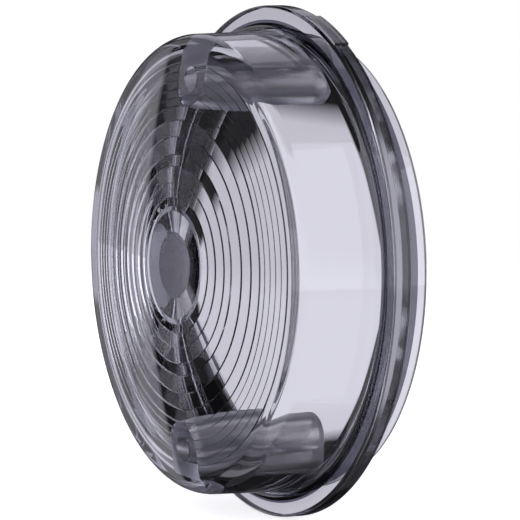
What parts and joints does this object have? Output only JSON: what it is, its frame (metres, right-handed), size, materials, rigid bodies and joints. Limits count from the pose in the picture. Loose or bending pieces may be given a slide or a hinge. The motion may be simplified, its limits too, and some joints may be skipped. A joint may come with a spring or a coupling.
{
  "type": "indicator lens",
  "caption": "Round clear plastic lens cup for a vehicle indicator lamp, with a domed face, concentric optic rings, a gasket flange and screw bosses.",
  "frame": {"origin": "midway between the two screw bosses, in the plane of their ends, where they sit on the lamp body", "axes": "-Y out of the domed face along the lens axis, +Y toward the lamp body, +Z through the upper boss, +X to the right"},
  "size_m": [0.074, 0.0244, 0.074],
  "materials": {
    "clear_plastic": "polished clear acrylic"
  },
  "bodies": {
    "root": {"indicator_lens": "clear_plastic"}
  },
  "joints": []
}
